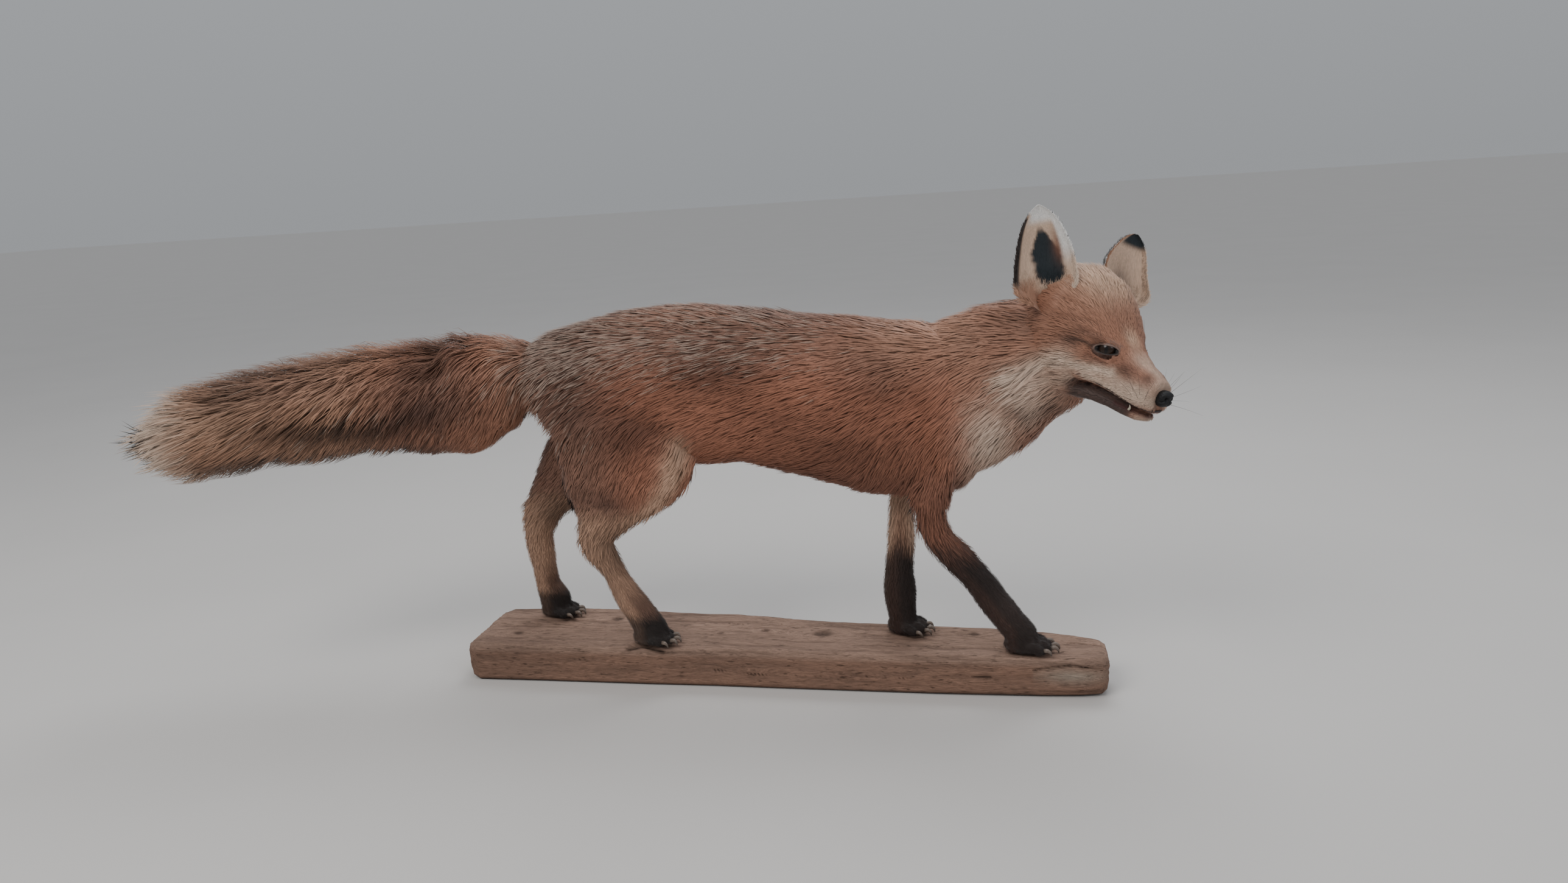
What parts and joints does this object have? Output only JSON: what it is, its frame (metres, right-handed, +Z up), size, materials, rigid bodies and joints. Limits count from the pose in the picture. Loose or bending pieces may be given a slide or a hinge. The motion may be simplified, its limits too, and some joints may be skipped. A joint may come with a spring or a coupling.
{
  "type": "taxidermy red fox on a driftwood plank",
  "caption": "Life-size mounted red fox walking on a worn plank, head turned to its right, brush held out level behind.",
  "frame": {"origin": "middle of the plank's length, on its flat underside", "axes": "+X along the plank towards the fox's chest, +Y to the fox's left, +Z up"},
  "size_m": [1.0326, 0.1962, 0.4735],
  "materials": {
    "coat_rust": "dense reddish brown guard hair, grizzled over the rump",
    "coat_tan": "grey-tan fur, short on the shanks and long on the brush",
    "coat_cream": "long cream fur with sparse dark guard hairs",
    "coat_dark": "short brown-black hair of the feet and jaw",
    "nose_leather": "dry pebbled black skin",
    "eye_glass": "dark brown glass eye, glossy and opaque",
    "claw_horn": "grey-tan horn, satin",
    "tooth": "ivory enamel, satin",
    "driftwood": "bare weathered grey-brown plank with open grain and knots"
  },
  "bodies": {
    "root": {"base_plank": "driftwood", "trunk": "coat_rust", "neck": "coat_rust", "head": "coat_rust", "ear_right": "coat_tan", "eye_right": "eye_glass", "lower_canine_right": "tooth", "ear_left": "coat_tan", "eye_left": "eye_glass", "lower_canine_left": "tooth", "lower_jaw": "coat_dark", "nose": "nose_leather", "tail_root": "coat_tan", "tail_middle": "coat_tan", "tail_tip": "coat_cream", "hind_right_thigh": "coat_rust", "hind_right_shank": "coat_tan", "hind_right_paw": "coat_dark", "fore_right_upper": "coat_rust", "fore_right_lower": "coat_dark", "fore_right_paw": "coat_dark", "hind_right_claw_1": "claw_horn", "hind_right_claw_2": "claw_horn", "hind_right_claw_3": "claw_horn", "hind_right_claw_4": "claw_horn", "fore_right_claw_1": "claw_horn", "fore_right_claw_2": "claw_horn", "fore_right_claw_3": "claw_horn", "fore_right_claw_4": "claw_horn", "hind_left_thigh": "coat_rust", "hind_left_shank": "coat_tan", "hind_left_paw": "coat_dark", "fore_left_upper": "coat_rust", "fore_left_lower": "coat_dark", "fore_left_paw": "coat_dark", "hind_left_claw_1": "claw_horn", "hind_left_claw_2": "claw_horn", "hind_left_claw_3": "claw_horn", "hind_left_claw_4": "claw_horn", "fore_left_claw_1": "claw_horn", "fore_left_claw_2": "claw_horn", "fore_left_claw_3": "claw_horn", "fore_left_claw_4": "claw_horn"}
  },
  "joints": []
}
